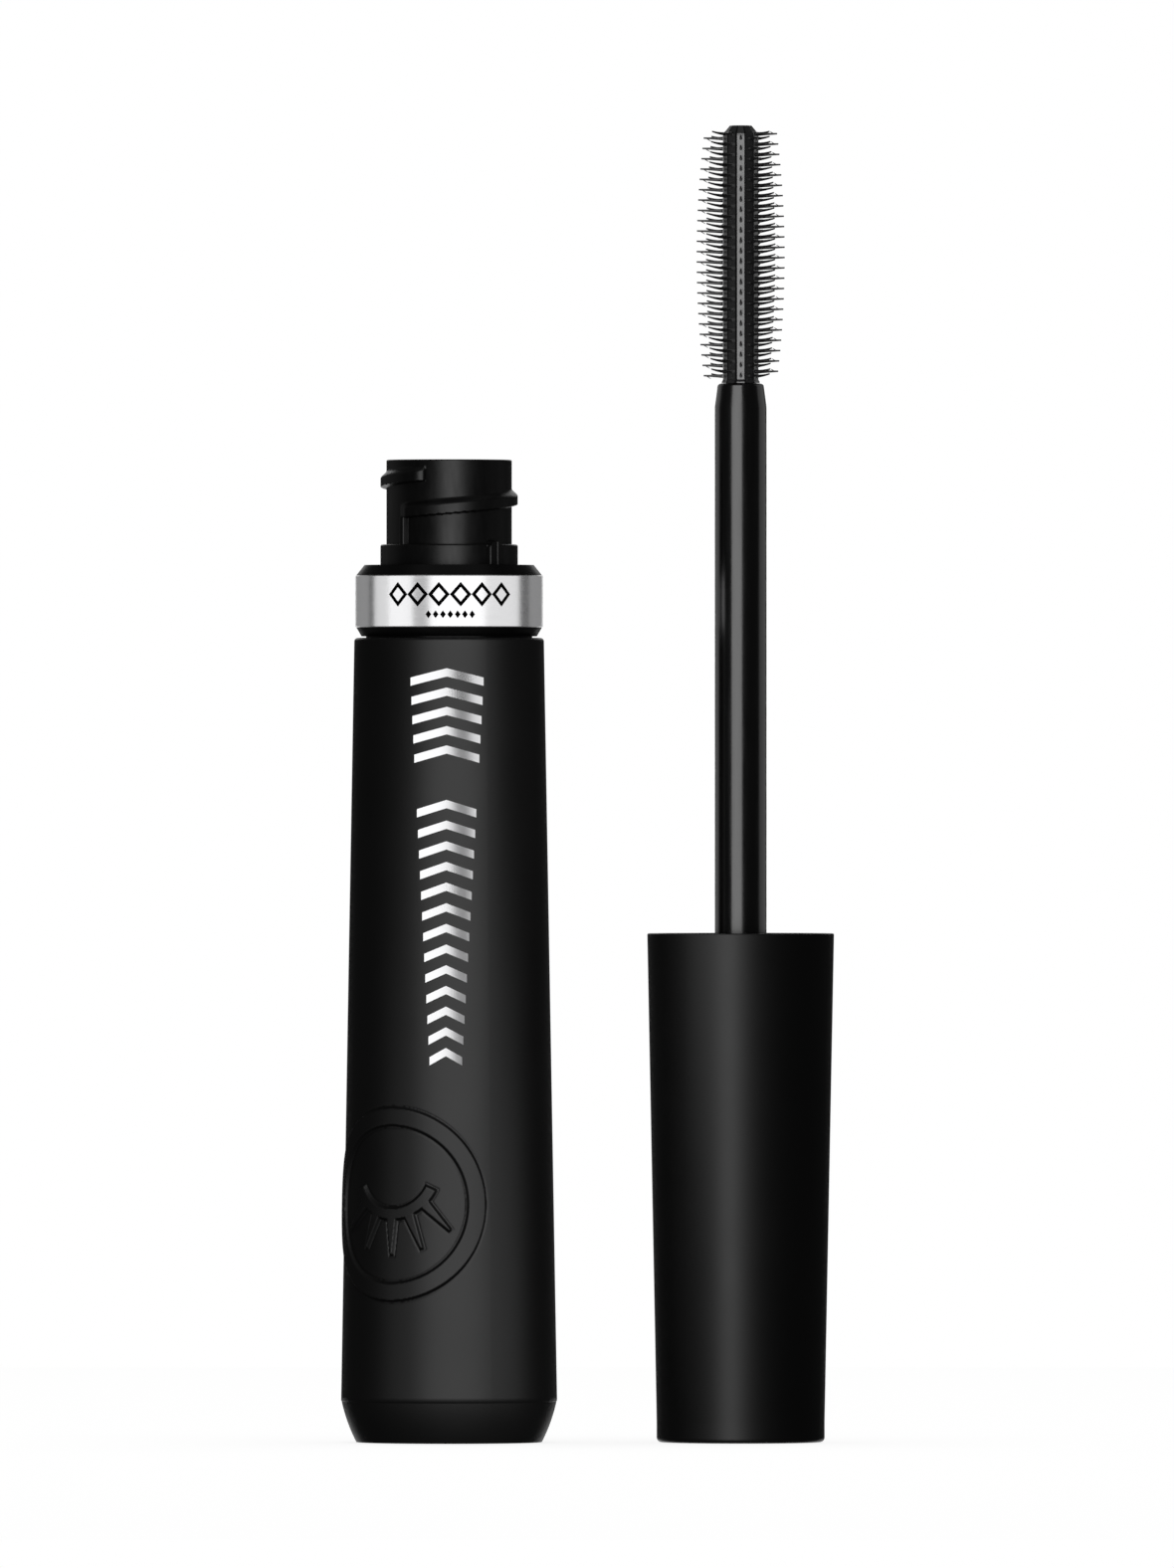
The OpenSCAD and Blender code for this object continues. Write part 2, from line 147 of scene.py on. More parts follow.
class Look:
    """A Principled material whose texture space is the piece's own, in millimetres."""

    def __init__(self, name, colour, roughness, **sockets):
        self.mat = bpy.data.materials.new(name)
        self.mat.use_nodes = True
        self.nodes = self.mat.node_tree.nodes
        self.links = self.mat.node_tree.links
        self.shader = self.nodes["Principled BSDF"]
        self.shader.inputs["Base Color"].default_value = (*colour, 1)
        self.shader.inputs["Roughness"].default_value = roughness
        for socket, value in sockets.items():
            self.shader.inputs[socket.replace("_", " ")].default_value = value
        place = self.nodes.new("ShaderNodeTexCoord")
        self.scale = self.nodes.new("ShaderNodeMapping")
        self.scale.inputs["Scale"].default_value = (1 / MM,) * 3
        self.links.new(place.outputs["Object"], self.scale.inputs["Vector"])

    def noise(self, size_mm, detail=3.0, stretch=(1, 1, 1)):
        """Noise whose features are about size_mm wide, stretched along the axes."""
        squash = self.nodes.new("ShaderNodeMapping")
        squash.inputs["Scale"].default_value = tuple(1 / s for s in stretch)
        self.links.new(self.scale.outputs["Vector"], squash.inputs["Vector"])
        noise = self.nodes.new("ShaderNodeTexNoise")
        noise.inputs["Scale"].default_value = 1 / size_mm
        noise.inputs["Detail"].default_value = detail
        self.links.new(squash.outputs["Vector"], noise.inputs["Vector"])
        return noise.outputs["Fac"]

    def between(self, factor, low, high):
        """Spreads a noise between two numbers."""
        remap = self.nodes.new("ShaderNodeMapRange")
        remap.inputs["From Min"].default_value = NOISE_LOW
        remap.inputs["From Max"].default_value = NOISE_HIGH
        remap.inputs["To Min"].default_value = low
        remap.inputs["To Max"].default_value = high
        self.links.new(factor, remap.inputs["Value"])
        return remap.outputs["Result"]

    def vary_roughness(self, factor, low, high):
        self.links.new(self.between(factor, low, high), self.shader.inputs["Roughness"])

    def vary_colour(self, factor, dark, light):
        blend = self.nodes.new("ShaderNodeValToRGB")
        first, last = blend.color_ramp.elements
        first.position, last.position = NOISE_LOW, NOISE_HIGH
        first.color, last.color = (*dark, 1), (*light, 1)
        self.links.new(factor, blend.inputs["Fac"])
        self.links.new(blend.outputs["Color"], self.shader.inputs["Base Color"])

    def bump(self, factor, height_mm, strength=1.0):
        bump = self.nodes.new("ShaderNodeBump")
        bump.inputs["Distance"].default_value = height_mm * MM
        bump.inputs["Strength"].default_value = strength
        previous = self.shader.inputs["Normal"].links
        if previous:
            self.links.new(previous[0].from_socket, bump.inputs["Normal"])
        self.links.new(factor, bump.inputs["Height"])
        self.links.new(bump.outputs["Normal"], self.shader.inputs["Normal"])


def grey(value):
    """A grey with a trace of blue."""
    return (value, value, value * 1.03)


def soft_touch():
    look = Look("soft_touch_black", grey(0.0009), 0.46)
    grain = look.noise(0.12, detail=2)
    clouds = look.noise(6.0, detail=3)
    look.vary_colour(clouds, grey(0.0007), grey(0.0011))
    look.vary_roughness(clouds, 0.45, 0.47)
    look.bump(grain, 0.004, 0.5)
    return look.mat


def satin_black():
    look = Look("collar_black", grey(0.0025), 0.3)
    grain = look.noise(0.2)
    look.vary_roughness(grain, 0.26, 0.34)
    look.bump(grain, 0.002, 0.4)
    return look.mat


def moulded_neck():
    look = Look("neck_black", grey(0.0025), 0.36)
    streaks = look.noise(0.5, stretch=(1, 1, 4))
    look.vary_roughness(streaks, 0.32, 0.42)
    look.bump(streaks, 0.004, 0.4)
    return look.mat


def gloss_stem():
    look = Look("stem_black", grey(0.002), 0.2, Specular_IOR_Level=0.85)
    streaks = look.noise(0.4, stretch=(1, 1, 12))
    look.vary_roughness(streaks, 0.17, 0.24)
    look.bump(streaks, 0.002, 0.3)
    return look.mat


def moulded_brush():
    look = Look("brush_black", grey(0.018), 0.24, Specular_IOR_Level=1.0, IOR=1.65)
    grain = look.noise(0.15)
    look.vary_roughness(grain, 0.2, 0.28)
    look.vary_colour(grain, grey(0.015), grey(0.021))
    look.bump(grain, 0.003, 0.4)
    return look.mat


def silver_band():
    look = Look("band_silver", (0.9, 0.9, 0.91), 0.2, Metallic=0.85)
    turning = look.noise(0.06, stretch=(40, 40, 1))
    look.vary_roughness(turning, 0.18, 0.24)
    look.vary_colour(turning, (0.88, 0.88, 0.89), (0.93, 0.93, 0.94))
    return look.mat


def silver_foil():
    look = Look("foil_silver", (0.88, 0.88, 0.89), 0.3, Metallic=0.85)
    crinkle = look.noise(4.0, detail=1)
    look.vary_roughness(crinkle, 0.27, 0.29)
    look.vary_colour(crinkle, (0.9, 0.9, 0.91), (0.95, 0.95, 0.96))
    return look.mat


def soft_rubber(name, value, roughness):
    look = Look(name, grey(value), roughness)
    grain = look.noise(0.25)
    look.vary_colour(grain, grey(value * 0.85), grey(value * 1.15))
    look.vary_roughness(grain, roughness - 0.06, roughness + 0.06)
    look.bump(grain, 0.003, 0.4)
    return look.mat


def sticker():
    look = Look("label_paper", (0.62, 0.62, 0.63), 0.5)
    fibres = look.noise(0.3, detail=5, stretch=(3, 1, 1))
    look.vary_colour(fibres, (0.58, 0.58, 0.59), (0.66, 0.66, 0.67))
    look.bump(fibres, 0.004, 0.4)
    return look.mat


def wet_paste():
    look = Look("paste_black", grey(0.002), 0.4, Specular_IOR_Level=0.3)
    ripples = look.noise(1.2, detail=4)
    look.vary_colour(ripples, grey(0.0015), grey(0.003))
    look.vary_roughness(ripples, 0.34, 0.46)
    look.bump(ripples, 0.12, 0.8)
    return look.mat


def pale_floor():
    look = Look("floor_white", (0.5, 0.5, 0.5), 0.9)
    look.shader.inputs["Emission Color"].default_value = (1, 1, 1, 1)
    look.shader.inputs["Emission Strength"].default_value = 0.85
    look.scale.inputs["Scale"].default_value = (1, 1, 1)
    look.vary_roughness(look.noise(0.3), 0.85, 0.95)
    return look.mat


LOOKS = {
    "soft_touch_black": soft_touch(),
    "collar_black": satin_black(),
    "neck_black": moulded_neck(),
    "stem_black": gloss_stem(),
    "brush_black": moulded_brush(),
    "band_silver": silver_band(),
    "wiper_grey": soft_rubber("wiper_grey", 0.02, 0.45),
    "gasket_grey": soft_rubber("gasket_grey", 0.26, 0.6),
    "insert_black": soft_rubber("insert_black", 0.008, 0.4),
    "label_paper": sticker(),
    "paste_black": wet_paste(),
}


def dress_cad_nodes():
    """Gives every CAD node the look of its record slot."""
    for part in frame["record"]["subparts"]:
        node = frame["nodes"][part["node"]]
        for place in node.material_slots:
            place.material = LOOKS[part["material_slot"]]


# ---------------------------------------------------------------- camera, floor and light

CAMERA_DISTANCE = 3.104
VIEW_HEIGHT = 0.15287    # height of the picture at the object's distance
EYE = Vector((0.01344, -CAMERA_DISTANCE, 0.06415))
SENSOR = 36.0
CLIP = (0.05, 60)
FLOOR_HALF = 0.4
FLOOR_Z = -0.05 * MM     # just under the two faces that stand on it
BOX_DISTANCE = 1.3       # from the object to each softbox
REFLECTED_WORLD = 0.032  # how bright the surroundings are in reflections

# Softboxes: name, group of pieces that it lights, azimuth from the camera's side, half width,
# lower and upper edge, all in degrees as seen from the object, and radiance. The boxes behind
# the dark pieces leave the horizon free, so that the pieces' edges stay dark from the front.
SOFTBOXES = [
    ("key_shell", "shell", 6, 37, -13, 40, 1.95),
    ("low_shell", "shell", 6, 50, -24, -13, 0.62),
    ("key_neck", "neck", 4, 19, -26, 40, 1.8),
    ("key_cap", "cap", -13, 9, -26, 40, 3.5),
    ("key_stem", "stem", -17, 23, -26, 40, 2.3),
    ("key_bristles", "bristles", -17, 23, -26, 40, 1.3),
    ("neck_left", "neck", -120, 25, -26, 40, 0.07),
    ("neck_right", "neck", 100, 22, -26, 40, 0.07),
    ("key_collar", "collar", 4, 40, -26, 40, 0.5),
    ("side_left", "stem", -130, 20, -26, 40, 0.42),
    ("side_right", "stem", 115, 25, -26, 40, 0.42),
    ("band_far_left", "band", -91, 14, -30, 30, 0.72),
    ("band_left", "band", -62, 16, -30, 30, 1.05),
    ("band_gap", "band", -36, 11, -30, 30, 0.4),
    ("band_front", "band", 10, 35, -30, 30, 1.2),
    ("band_right", "band", 71, 26, -30, 30, 0.8),
    ("foil_left", "foil", -32, 36, -30, 30, 1.2),
    ("foil_right", "foil", 45, 20, -30, 30, 0.9),
    ("back_shell_low", "shell", 180, 25, -32, -9, 1.5),
    ("back_shell_high", "shell", 180, 25, 9, 40, 1.5),
    ("back_neck_low", "neck", 180, 25, -32, -9, 1.0),
    ("back_neck_high", "neck", 180, 25, 9, 40, 1.0),
    ("back_collar_low", "collar", 180, 20, -32, -9, 0.6),
    ("back_collar_high", "collar", 180, 20, 9, 40, 0.6),
    ("back_cap_low", "cap", 180, 25, -32, -9, 1.5),
    ("back_cap_high", "cap", 180, 25, 9, 40, 1.5),
    ("back_stem", "stem", 180, 20, -26, 40, 1.6),
    ("back_bristles", "bristles", 180, 20, -26, 40, 1.2),
    ("back_band", "band", 180, 18, -30, 30, 0.8),
    ("back_band_left", "band", -138, 22, -30, 30, 0.2),
    ("back_band_right", "band", 138, 22, -30, 30, 0.2),
]
NEAR_DISTANCE = 0.1      # from a piece's axis to each near box

# Near boxes, which light one end of a tapered piece: name, group, x of its axis, azimuth and
# half width in degrees, lower and upper edge in millimetres, and radiance
NEAR_BOXES = [
    ("near_shell_right", "shell", 0, 64, 15, -15, 38, 0.85),
    ("near_shell_left", "shell", 0, -55, 10, -15, 40, 0.6),
    ("near_cap", "cap", WAND_X, -38, 26, 34, 130, 0.95),
]
CEILING_SIZE = 1.6
CEILING_HEIGHT = 1.6     # above the object's middle; the light under it is as far below
CEILING_RADIANCE = 0.08
UNDER_RADIANCE = 0.12
FLOOR_LIGHT = 1.2


def add_camera():
    data = bpy.data.cameras.new("camera")
    data.sensor_width = SENSOR
    data.lens = SENSOR * CAMERA_DISTANCE / VIEW_HEIGHT
    data.clip_start, data.clip_end = CLIP
    cam = bpy.data.objects.new("camera", data)
    cam.location = EYE
    cam.rotation_euler = (math.pi / 2, 0, 0)
    bpy.context.scene.collection.objects.link(cam)
    bpy.context.scene.camera = cam


def add_floor():
    """A pale floor that takes shadows, casts none and isn't seen in reflections."""
    signs = ((-1, -1), (1, -1), (1, 1), (-1, 1))
    corners = [(x * FLOOR_HALF, y * FLOOR_HALF, FLOOR_Z) for x, y in signs]
    floor = add_mesh("floor", corners, [(0, 1, 2, 3)], pale_floor(), smooth_shade=False)
    floor.visible_glossy = False
    floor.visible_diffuse = False
    floor.visible_shadow = False
    return floor


def add_area_light(name, place, aim, width, tall, radiance, receivers):
    """A rectangular light with the given radiance, which lights only its receivers."""
    data = bpy.data.lights.new(name, "AREA")
    data.shape = "RECTANGLE"
    data.size, data.size_y = width, tall
    data.energy = radiance * math.pi * width * tall
    box = bpy.data.objects.new(name, data)
    box.location = place
    box.rotation_euler = (aim - place).to_track_quat("-Z", "Y").to_euler()
    box.visible_camera = False
    box.light_linking.receiver_collection = receivers
    bpy.context.scene.collection.objects.link(box)
    return box


def add_softbox(name, azimuth, half, low, high, radiance, receivers):
    """An upright softbox. Azimuth 0 is the camera's side and positive goes to its right."""
    a = math.radians(azimuth)
    bottom, top = (BOX_DISTANCE * math.tan(math.radians(edge)) for edge in (low, high))
    level = EYE.z + (bottom + top) / 2
    place = Vector((WAND_X / 2 + math.sin(a) * BOX_DISTANCE, -math.cos(a) * BOX_DISTANCE, level))
    width = 2 * BOX_DISTANCE * math.tan(math.radians(half))
    aim = Vector((WAND_X / 2, 0, level))
    add_area_light(name, place, aim, width, top - bottom, radiance, receivers)


def add_near_box(name, axis_x, azimuth, half, low, high, radiance, receivers):
    """An upright softbox close to one piece, whose light only that piece itself can block."""
    a = math.radians(azimuth)
    axis = Vector((axis_x, 0, (low + high) / 2 * MM))
    place = axis + Vector((math.sin(a), -math.cos(a), 0)) * NEAR_DISTANCE
    width = 2 * NEAR_DISTANCE * math.tan(math.radians(half))
    box = add_area_light(name, place, axis, width, (high - low) * MM, radiance, receivers)
    box.light_linking.blocker_collection = receivers


def add_world():
    """White to the camera, nearly dark to reflections, as flags round a product are."""
    world = bpy.data.worlds.new("studio")
    world.use_nodes = True
    nodes, links = world.node_tree.nodes, world.node_tree.links
    back = nodes["Background"]
    path = nodes.new("ShaderNodeLightPath")
    level = nodes.new("ShaderNodeMapRange")
    level.inputs["To Min"].default_value = REFLECTED_WORLD
    level.inputs["To Max"].default_value = 1.0
    back.inputs["Color"].default_value = (1, 1, 1, 1)
    links.new(path.outputs["Is Camera Ray"], level.inputs["Value"])
    links.new(level.outputs["Result"], back.inputs["Strength"])
    bpy.context.scene.world = world


def group(name, pieces):
    """A collection, outside the scene, of the pieces that a light falls on."""
    chosen = bpy.data.collections.new(name)
    for piece in pieces:
        chosen.objects.link(piece)
    return chosen


def add_lights(lit, floor):
    groups = {name: group("lit_" + name, pieces) for name, pieces in lit.items()}
    for name, receivers, azimuth, half, low, high, radiance in SOFTBOXES:
        add_softbox(name, azimuth, half, low, high, radiance, groups[receivers])
    for name, receivers, axis_x, azimuth, half, low, high, radiance in NEAR_BOXES:
        add_near_box(name, axis_x, azimuth, half, low, high, radiance, groups[receivers])
    everything = group("lit_all", [piece for pieces in lit.values() for piece in pieces])
    no_shell = group("lit_under", [piece for name in lit if name != "shell" for piece in lit[name]])
    ground = group("lit_floor", [floor])
    centre = Vector((WAND_X / 2, 0, EYE.z))
    flat_boxes = (("ceiling", 1, CEILING_RADIANCE, everything),
                  ("under", -1, UNDER_RADIANCE, no_shell),
                  ("floor_light", 1, FLOOR_LIGHT, ground))
    for name, side, radiance, receivers in flat_boxes:
        place = centre + Vector((0, 0, side * CEILING_HEIGHT))
        add_area_light(name, place, centre, CEILING_SIZE, CEILING_SIZE, radiance, receivers)


# ---------------------------------------------------------------- the shell and its raised emblem

FOOT_Z = 4 * MM          # height of the bevel round the foot
FOOT_R = 9.05 * MM
FOOT_EDGE = 0.05 * MM    # chamfer under the foot
FOOT_SAG = 0.14 * MM     # how far the bevel bows out
FOOT_CREASE = 0.05 * MM
FOOT_BORE_R = 8.2 * MM
SHELL_WALL = 1.1 * MM
SHELL_TOP_R = 9.25 * MM
SHELL_EDGE_R = 0.35 * MM
SHELL_EDGE_STEPS = 8

EMBLEM_Z = 23.3 * MM
EMBLEM_ANGLE = math.radians(-122.5)
EMBLEM_R = 9.48 * MM
EMBLEM_RIM = 1.9 * MM
EMBLEM_RELIEF = 0.3 * MM
EMBLEM_RAMP = 0.19 * MM  # width of the relief's sloping edge
EMBLEM_ROW = 0.095 * MM  # mesh size over the emblem, upwards
EMBLEM_COLUMN = 0.066 * MM
EMBLEM_MARGIN = 0.5 * MM  # fine mesh beyond the emblem's rim
PLAIN_STEP = math.radians(5)
GROOVE_DEPTH = 0.07 * MM # fine groove at the foot of the sloping edge
GROOVE_W = 0.1 * MM
LID_R = 5.2 * MM
LID_W = 1.3 * MM
LID_UP = 3.6 * MM
LID_HALF_TURN = math.radians(65)
LASH_ANGLES = [math.radians(a) for a in (226, 248, 270, 292, 314)]
LASH_FROM = 4.9 * MM
LASH_TO = 8.6 * MM
LASH_ROOT_W = 1.24 * MM
LASH_TIP_W = 0.44 * MM


def shell_radius(z):
    """Radius of the plain tapered wall."""
    low, high = FOOT_Z + FOOT_CREASE, shell_hi.z - SHELL_EDGE_R
    return mix(shell_hi.x, SHELL_TOP_R, (z - low) / (high - low))


def outside_rim(u, v):
    """Distance outside the emblem's rim; negative within it."""
    r = math.hypot(u, v)
    return max(r - EMBLEM_R, EMBLEM_R - EMBLEM_RIM - r)


def outside_lid(u, v):
    """Distance outside the closed eyelid, an arc."""
    r = math.hypot(u, v - LID_UP)
    past_end = (abs(math.atan2(u, LID_UP - v)) - LID_HALF_TURN) * r
    return max(r - LID_R, LID_R - LID_W - r, past_end)


def outside_lash(u, v, angle):
    """Distance outside one tapered lash."""
    along = u * math.cos(angle) + (v - LID_UP) * math.sin(angle)
    across = abs((v - LID_UP) * math.cos(angle) - u * math.sin(angle))
    t = (along - LASH_FROM) / (LASH_TO - LASH_FROM)
    return max(across - mix(LASH_ROOT_W, LASH_TIP_W, t) / 2, LASH_FROM - along, along - LASH_TO)


def emblem_radius(angle, z, radius):
    """The shell's radius, raised where the emblem stands out of it."""
    u = (angle - EMBLEM_ANGLE) * shell_radius(EMBLEM_Z)
    v = z - EMBLEM_Z
    if math.hypot(u, v) > EMBLEM_R + 4 * GROOVE_W:
        return radius
    lashes = min(outside_lash(u, v, a) for a in LASH_ANGLES)
    gap = min(outside_rim(u, v), outside_lid(u, v), lashes)
    raised = 1 - ramp(gap, -EMBLEM_RAMP, 0)
    groove = max(0.0, 1 - abs(gap - GROOVE_W) / GROOVE_W)
    return radius + raised * EMBLEM_RELIEF - groove * GROOVE_DEPTH


def shell_profile():
    """The shell's section, up its outside, over its top edge and down its inside."""
    foot_run = Vector((shell_hi.x - FOOT_CREASE - FOOT_R, FOOT_Z))
    side = Vector((foot_run.y, -foot_run.x)).normalized()
    rows = [(FOOT_BORE_R, 0, False), (FOOT_R - FOOT_EDGE, 0, False)]
    for t in spread(0, 0.98, 0.08) + [1]:
        bow = side * (FOOT_SAG * 4 * t * (1 - t))
        rows.append((FOOT_R + foot_run.x * t + bow.x, foot_run.y * t + bow.y, False))
    rows.append((shell_hi.x, FOOT_Z + FOOT_CREASE, False))
    low, high = EMBLEM_Z - EMBLEM_R - EMBLEM_MARGIN, EMBLEM_Z + EMBLEM_R + EMBLEM_MARGIN
    heights = spread(FOOT_Z + 0.5 * MM, low, 1 * MM) + spread(low, high, EMBLEM_ROW)[1:]
    heights += spread(high, shell_hi.z - SHELL_EDGE_R, 2 * MM)[1:]
    rows += [(shell_radius(z), z, low < z < high) for z in heights]
    rows += round_over(SHELL_TOP_R, shell_hi.z, SHELL_EDGE_R, SHELL_EDGE_STEPS, False)
    rows.append((SHELL_TOP_R - SHELL_WALL, shell_hi.z, False))
    rows.append((shell_hi.x - SHELL_WALL, FOOT_Z, False))
    rows.append((FOOT_BORE_R, FOOT_Z - SHELL_WALL, False))
    return rows


def add_shell():
    reach = (EMBLEM_R + EMBLEM_MARGIN) / shell_radius(EMBLEM_Z)
    start, end = EMBLEM_ANGLE - reach, EMBLEM_ANGLE + reach
    angles = spread(start, end, EMBLEM_COLUMN / shell_radius(EMBLEM_Z))
    angles += spread(end, start + 2 * math.pi, PLAIN_STEP)[1:-1]
    shell = lathe_relief("bottle_shell", shell_profile(), angles, emblem_radius,
                         LOOKS["soft_touch_black"], closed=True)
    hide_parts("outer_shell")
    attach(shell, "bottle")
    return shell


# ---------------------------------------------------------------- the vial with its screw neck

AXIS_R = 1 * MM          # half width of the small flats that close the vial's floor
NECK_R = 6.11 * MM
NECK_BORE_R = 5.0 * MM
NECK_BORE_Z = 73.2 * MM  # where the neck's bore opens into the vial
MOUTH_R = 5.47 * MM
FLANGE_H = 0.72 * MM     # depth of the seat for the wiper's flange
NECK_RING_R = 6.695 * MM
NECK_RING_Z = 87.5 * MM
NECK_EDGE = 0.12 * MM
NECK_STEP = 0.07 * MM    # mesh size over the thread and the lug
RING_EDGE = 0.2 * MM
RING_EDGE_STEPS = 5
COLLAR_TOP = 85.5 * MM
VIAL_R = 7.95 * MM
VIAL_BORE_R = 7.0 * MM
VIAL_FLOOR = 1.5 * MM
VIAL_FLOOR_T = 0.9 * MM
VIAL_CORNER = 0.8 * MM
BORE_CORNER = 0.6 * MM
VIAL_SHOULDER = 73.4 * MM
VIAL_ROOF = 72.0 * MM

THREAD_R = 6.69 * MM
THREAD_LEAD = 3.4 * MM
THREAD_START = -141.7    # degrees
THREAD_SPAN = 390.0
THREAD_START_Z = 90.764 * MM
THREAD_LEAD_IN = 13.0    # degrees over which the lower end rises
THREAD_RUN_OUT = 10.0    # degrees over which the upper end falls to its blunt tip
THREAD_BLUNT = 0.25      # height left at that tip, as a share of the thread's
THREAD_TIP = 1.0         # degrees in which the tip ends
THREAD_UNDER = (-0.85 * MM, -0.68 * MM)  # steep side, facing down
THREAD_OVER = (0.1 * MM, 0.85 * MM)      # sloping side, facing up
RIB_ANGLE = math.radians(-134.7)
RIB_HALF_W = 0.34 * MM
RIB_R = 6.64 * MM
RIB_CHAMFER = 0.16 * MM
RIB_TOP = (90.13 * MM, 90.33 * MM)  # where the rib runs out into the thread
LUG_ANGLE = math.radians(-48.7)
LUG_HALF_W = 0.83 * MM
LUG_R = 7.045 * MM
LUG_TOP = 87.9 * MM
LUG_SHOULDER = 0.65 * MM  # how far the lug's sloping shoulders fall
LUG_CHAMFER = 0.18 * MM
LUG_DISH = 0.3 * MM      # hollow between the lug's two edges
LUG_DISH_EDGE = (0.35 * MM, 0.47 * MM)
LUG_TOP_RAMP = 0.16 * MM
CREASE_W = 0.07 * MM     # fine groove beside the rib and the lug
CREASE_DEPTH = 0.12 * MM


def thread_radius(angle, z):
    """Radius of the thread's surface, or of the bare neck beside it."""
    start_turn = (math.degrees(angle) - THREAD_START) % 360
    rise = 0.0
    for turned in (start_turn, start_turn + 360):
        if turned > THREAD_SPAN:
            continue
        h = z - THREAD_START_Z - THREAD_LEAD * turned / 360
        to_end = THREAD_SPAN - turned
        run_out = 1 - (1 - THREAD_BLUNT) * max(0.0, 1 - to_end / THREAD_RUN_OUT) ** 2
        ease = ramp(turned, 0, THREAD_LEAD_IN) * run_out * ramp(to_end, 0, THREAD_TIP)
        rise = max(rise, ease * ramp(h, *THREAD_UNDER) * (1 - ramp(h, *THREAD_OVER)))
    return mix(NECK_R, THREAD_R, rise)


def from_angle(angle, middle, radius):
    """Distance round the neck from a direction."""
    return abs((angle - middle + math.pi) % (2 * math.pi) - math.pi) * radius


def rib_radius(angle, z):
    """The stop rib that stands on the ring, under the thread's first end."""
    gap = from_angle(angle, RIB_ANGLE, NECK_R)
    if gap > RIB_HALF_W:
        return NECK_R
    chamfer = max(0.0, gap - RIB_HALF_W + RIB_CHAMFER)
    return mix(RIB_R - chamfer, NECK_R, ramp(z, *RIB_TOP))


def lug_radius(angle, z):
    """The locking lug on the ring, a small pane between two upright edges."""
    gap = from_angle(angle, LUG_ANGLE, NECK_RING_R)
    if gap > LUG_HALF_W:
        return NECK_R
    top = LUG_TOP - LUG_SHOULDER * max(0.0, gap / LUG_HALF_W * 2 - 1)
    chamfer = max(0.0, gap - LUG_HALF_W + LUG_CHAMFER)
    dish = (1 - ramp(gap, *LUG_DISH_EDGE)) * LUG_DISH
    return mix(LUG_R - dish - chamfer, NECK_R, ramp(z, top - LUG_TOP_RAMP, top))


def crease(angle, middle, half_width):
    """Depth of the fine groove along both sides of a rib."""
    gap = from_angle(angle, middle, NECK_R)
    return CREASE_DEPTH * max(0.0, 1 - abs(gap - half_width - CREASE_W) / CREASE_W)


def neck_relief(angle, z, radius):
    """The neck's radius with its thread, rib, lug and fine grooves."""
    surface = max(radius, thread_radius(angle, z), rib_radius(angle, z), lug_radius(angle, z))
    if NECK_RING_Z < z < RIB_TOP[0]:
        surface -= crease(angle, RIB_ANGLE, RIB_HALF_W)
    elif z < NECK_RING_Z:
        surface -= crease(angle, LUG_ANGLE, LUG_HALF_W * NECK_R / NECK_RING_R)
    return surface


def vial_profile():
    """The vial's section, from under its floor, up its outside, into its mouth and down its bore."""
    inside = VIAL_FLOOR + VIAL_FLOOR_T
    seat = vial_hi.z - FLANGE_H
    outer = [(AXIS_R, VIAL_FLOOR), (VIAL_R - VIAL_CORNER, VIAL_FLOOR),
             (VIAL_R, VIAL_FLOOR + VIAL_CORNER), (VIAL_R, VIAL_SHOULDER),
             (NECK_RING_R, VIAL_SHOULDER), (NECK_RING_R, COLLAR_TOP - 0.3 * MM)]
    inner = [(NECK_R - 0.3 * NECK_EDGE, vial_hi.z - 0.3 * NECK_EDGE),
             (NECK_R - NECK_EDGE, vial_hi.z), (MOUTH_R, vial_hi.z), (MOUTH_R, seat),
             (NECK_BORE_R, seat), (NECK_BORE_R, NECK_BORE_Z), (VIAL_BORE_R, VIAL_ROOF),
             (VIAL_BORE_R, inside + BORE_CORNER), (VIAL_BORE_R - BORE_CORNER, inside),
             (AXIS_R, inside)]
    ring = spread(COLLAR_TOP, NECK_RING_Z - RING_EDGE, NECK_STEP)
    neck = spread(NECK_RING_Z + 0.01 * MM, vial_hi.z - NECK_EDGE, NECK_STEP)
    rows = [(r, z, False) for r, z in outer]
    rows += [(NECK_RING_R, z, True) for z in ring]
    rows += round_over(NECK_RING_R, NECK_RING_Z, RING_EDGE, RING_EDGE_STEPS, True)
    rows += [(NECK_R, z, True) for z in neck]
    rows += [(r, z, False) for r, z in inner]
    return rows


def add_vial():
    angles = spread(0, 2 * math.pi, NECK_STEP / NECK_R)[:-1]
    vial = lathe_relief("vial_and_neck", vial_profile(), angles, neck_relief,
                        LOOKS["neck_black"], closed=False)
    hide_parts("inner_vial")
    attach(vial, "bottle")
    return vial


# ---------------------------------------------------------------- the brush

BRISTLE_ROWS = 12
BRISTLES_PER_ROW = 24
PITCH = 1.007 * MM
FIRST_BRISTLE = 103.92 * MM
ROW_SHIFT = 0.43 * MM
CORE_R = 1.77 * MM
CORE_FLAT = math.radians(11.5)  # half the turn that one flat strip takes
CORE_GROOVE = 0.85              # depth to which the core is cut between two strips
# The core's outline, as height in millimetres from the stem's end or from the brush's tip,
# and share of the core's radius
CORE_FOOT = [(-6.0, 0.66), (-0.28, 0.66), (0.02, 0.72), (0.04, 1.07), (0.14, 1.07), (0.37, 1.0)]
CORE_TIP = [(-1.0, 1.0), (-0.8, 0.965), (-0.55, 0.865), (-0.12, 0.66), (-0.03, 0.62), (0.0, 0.58)]

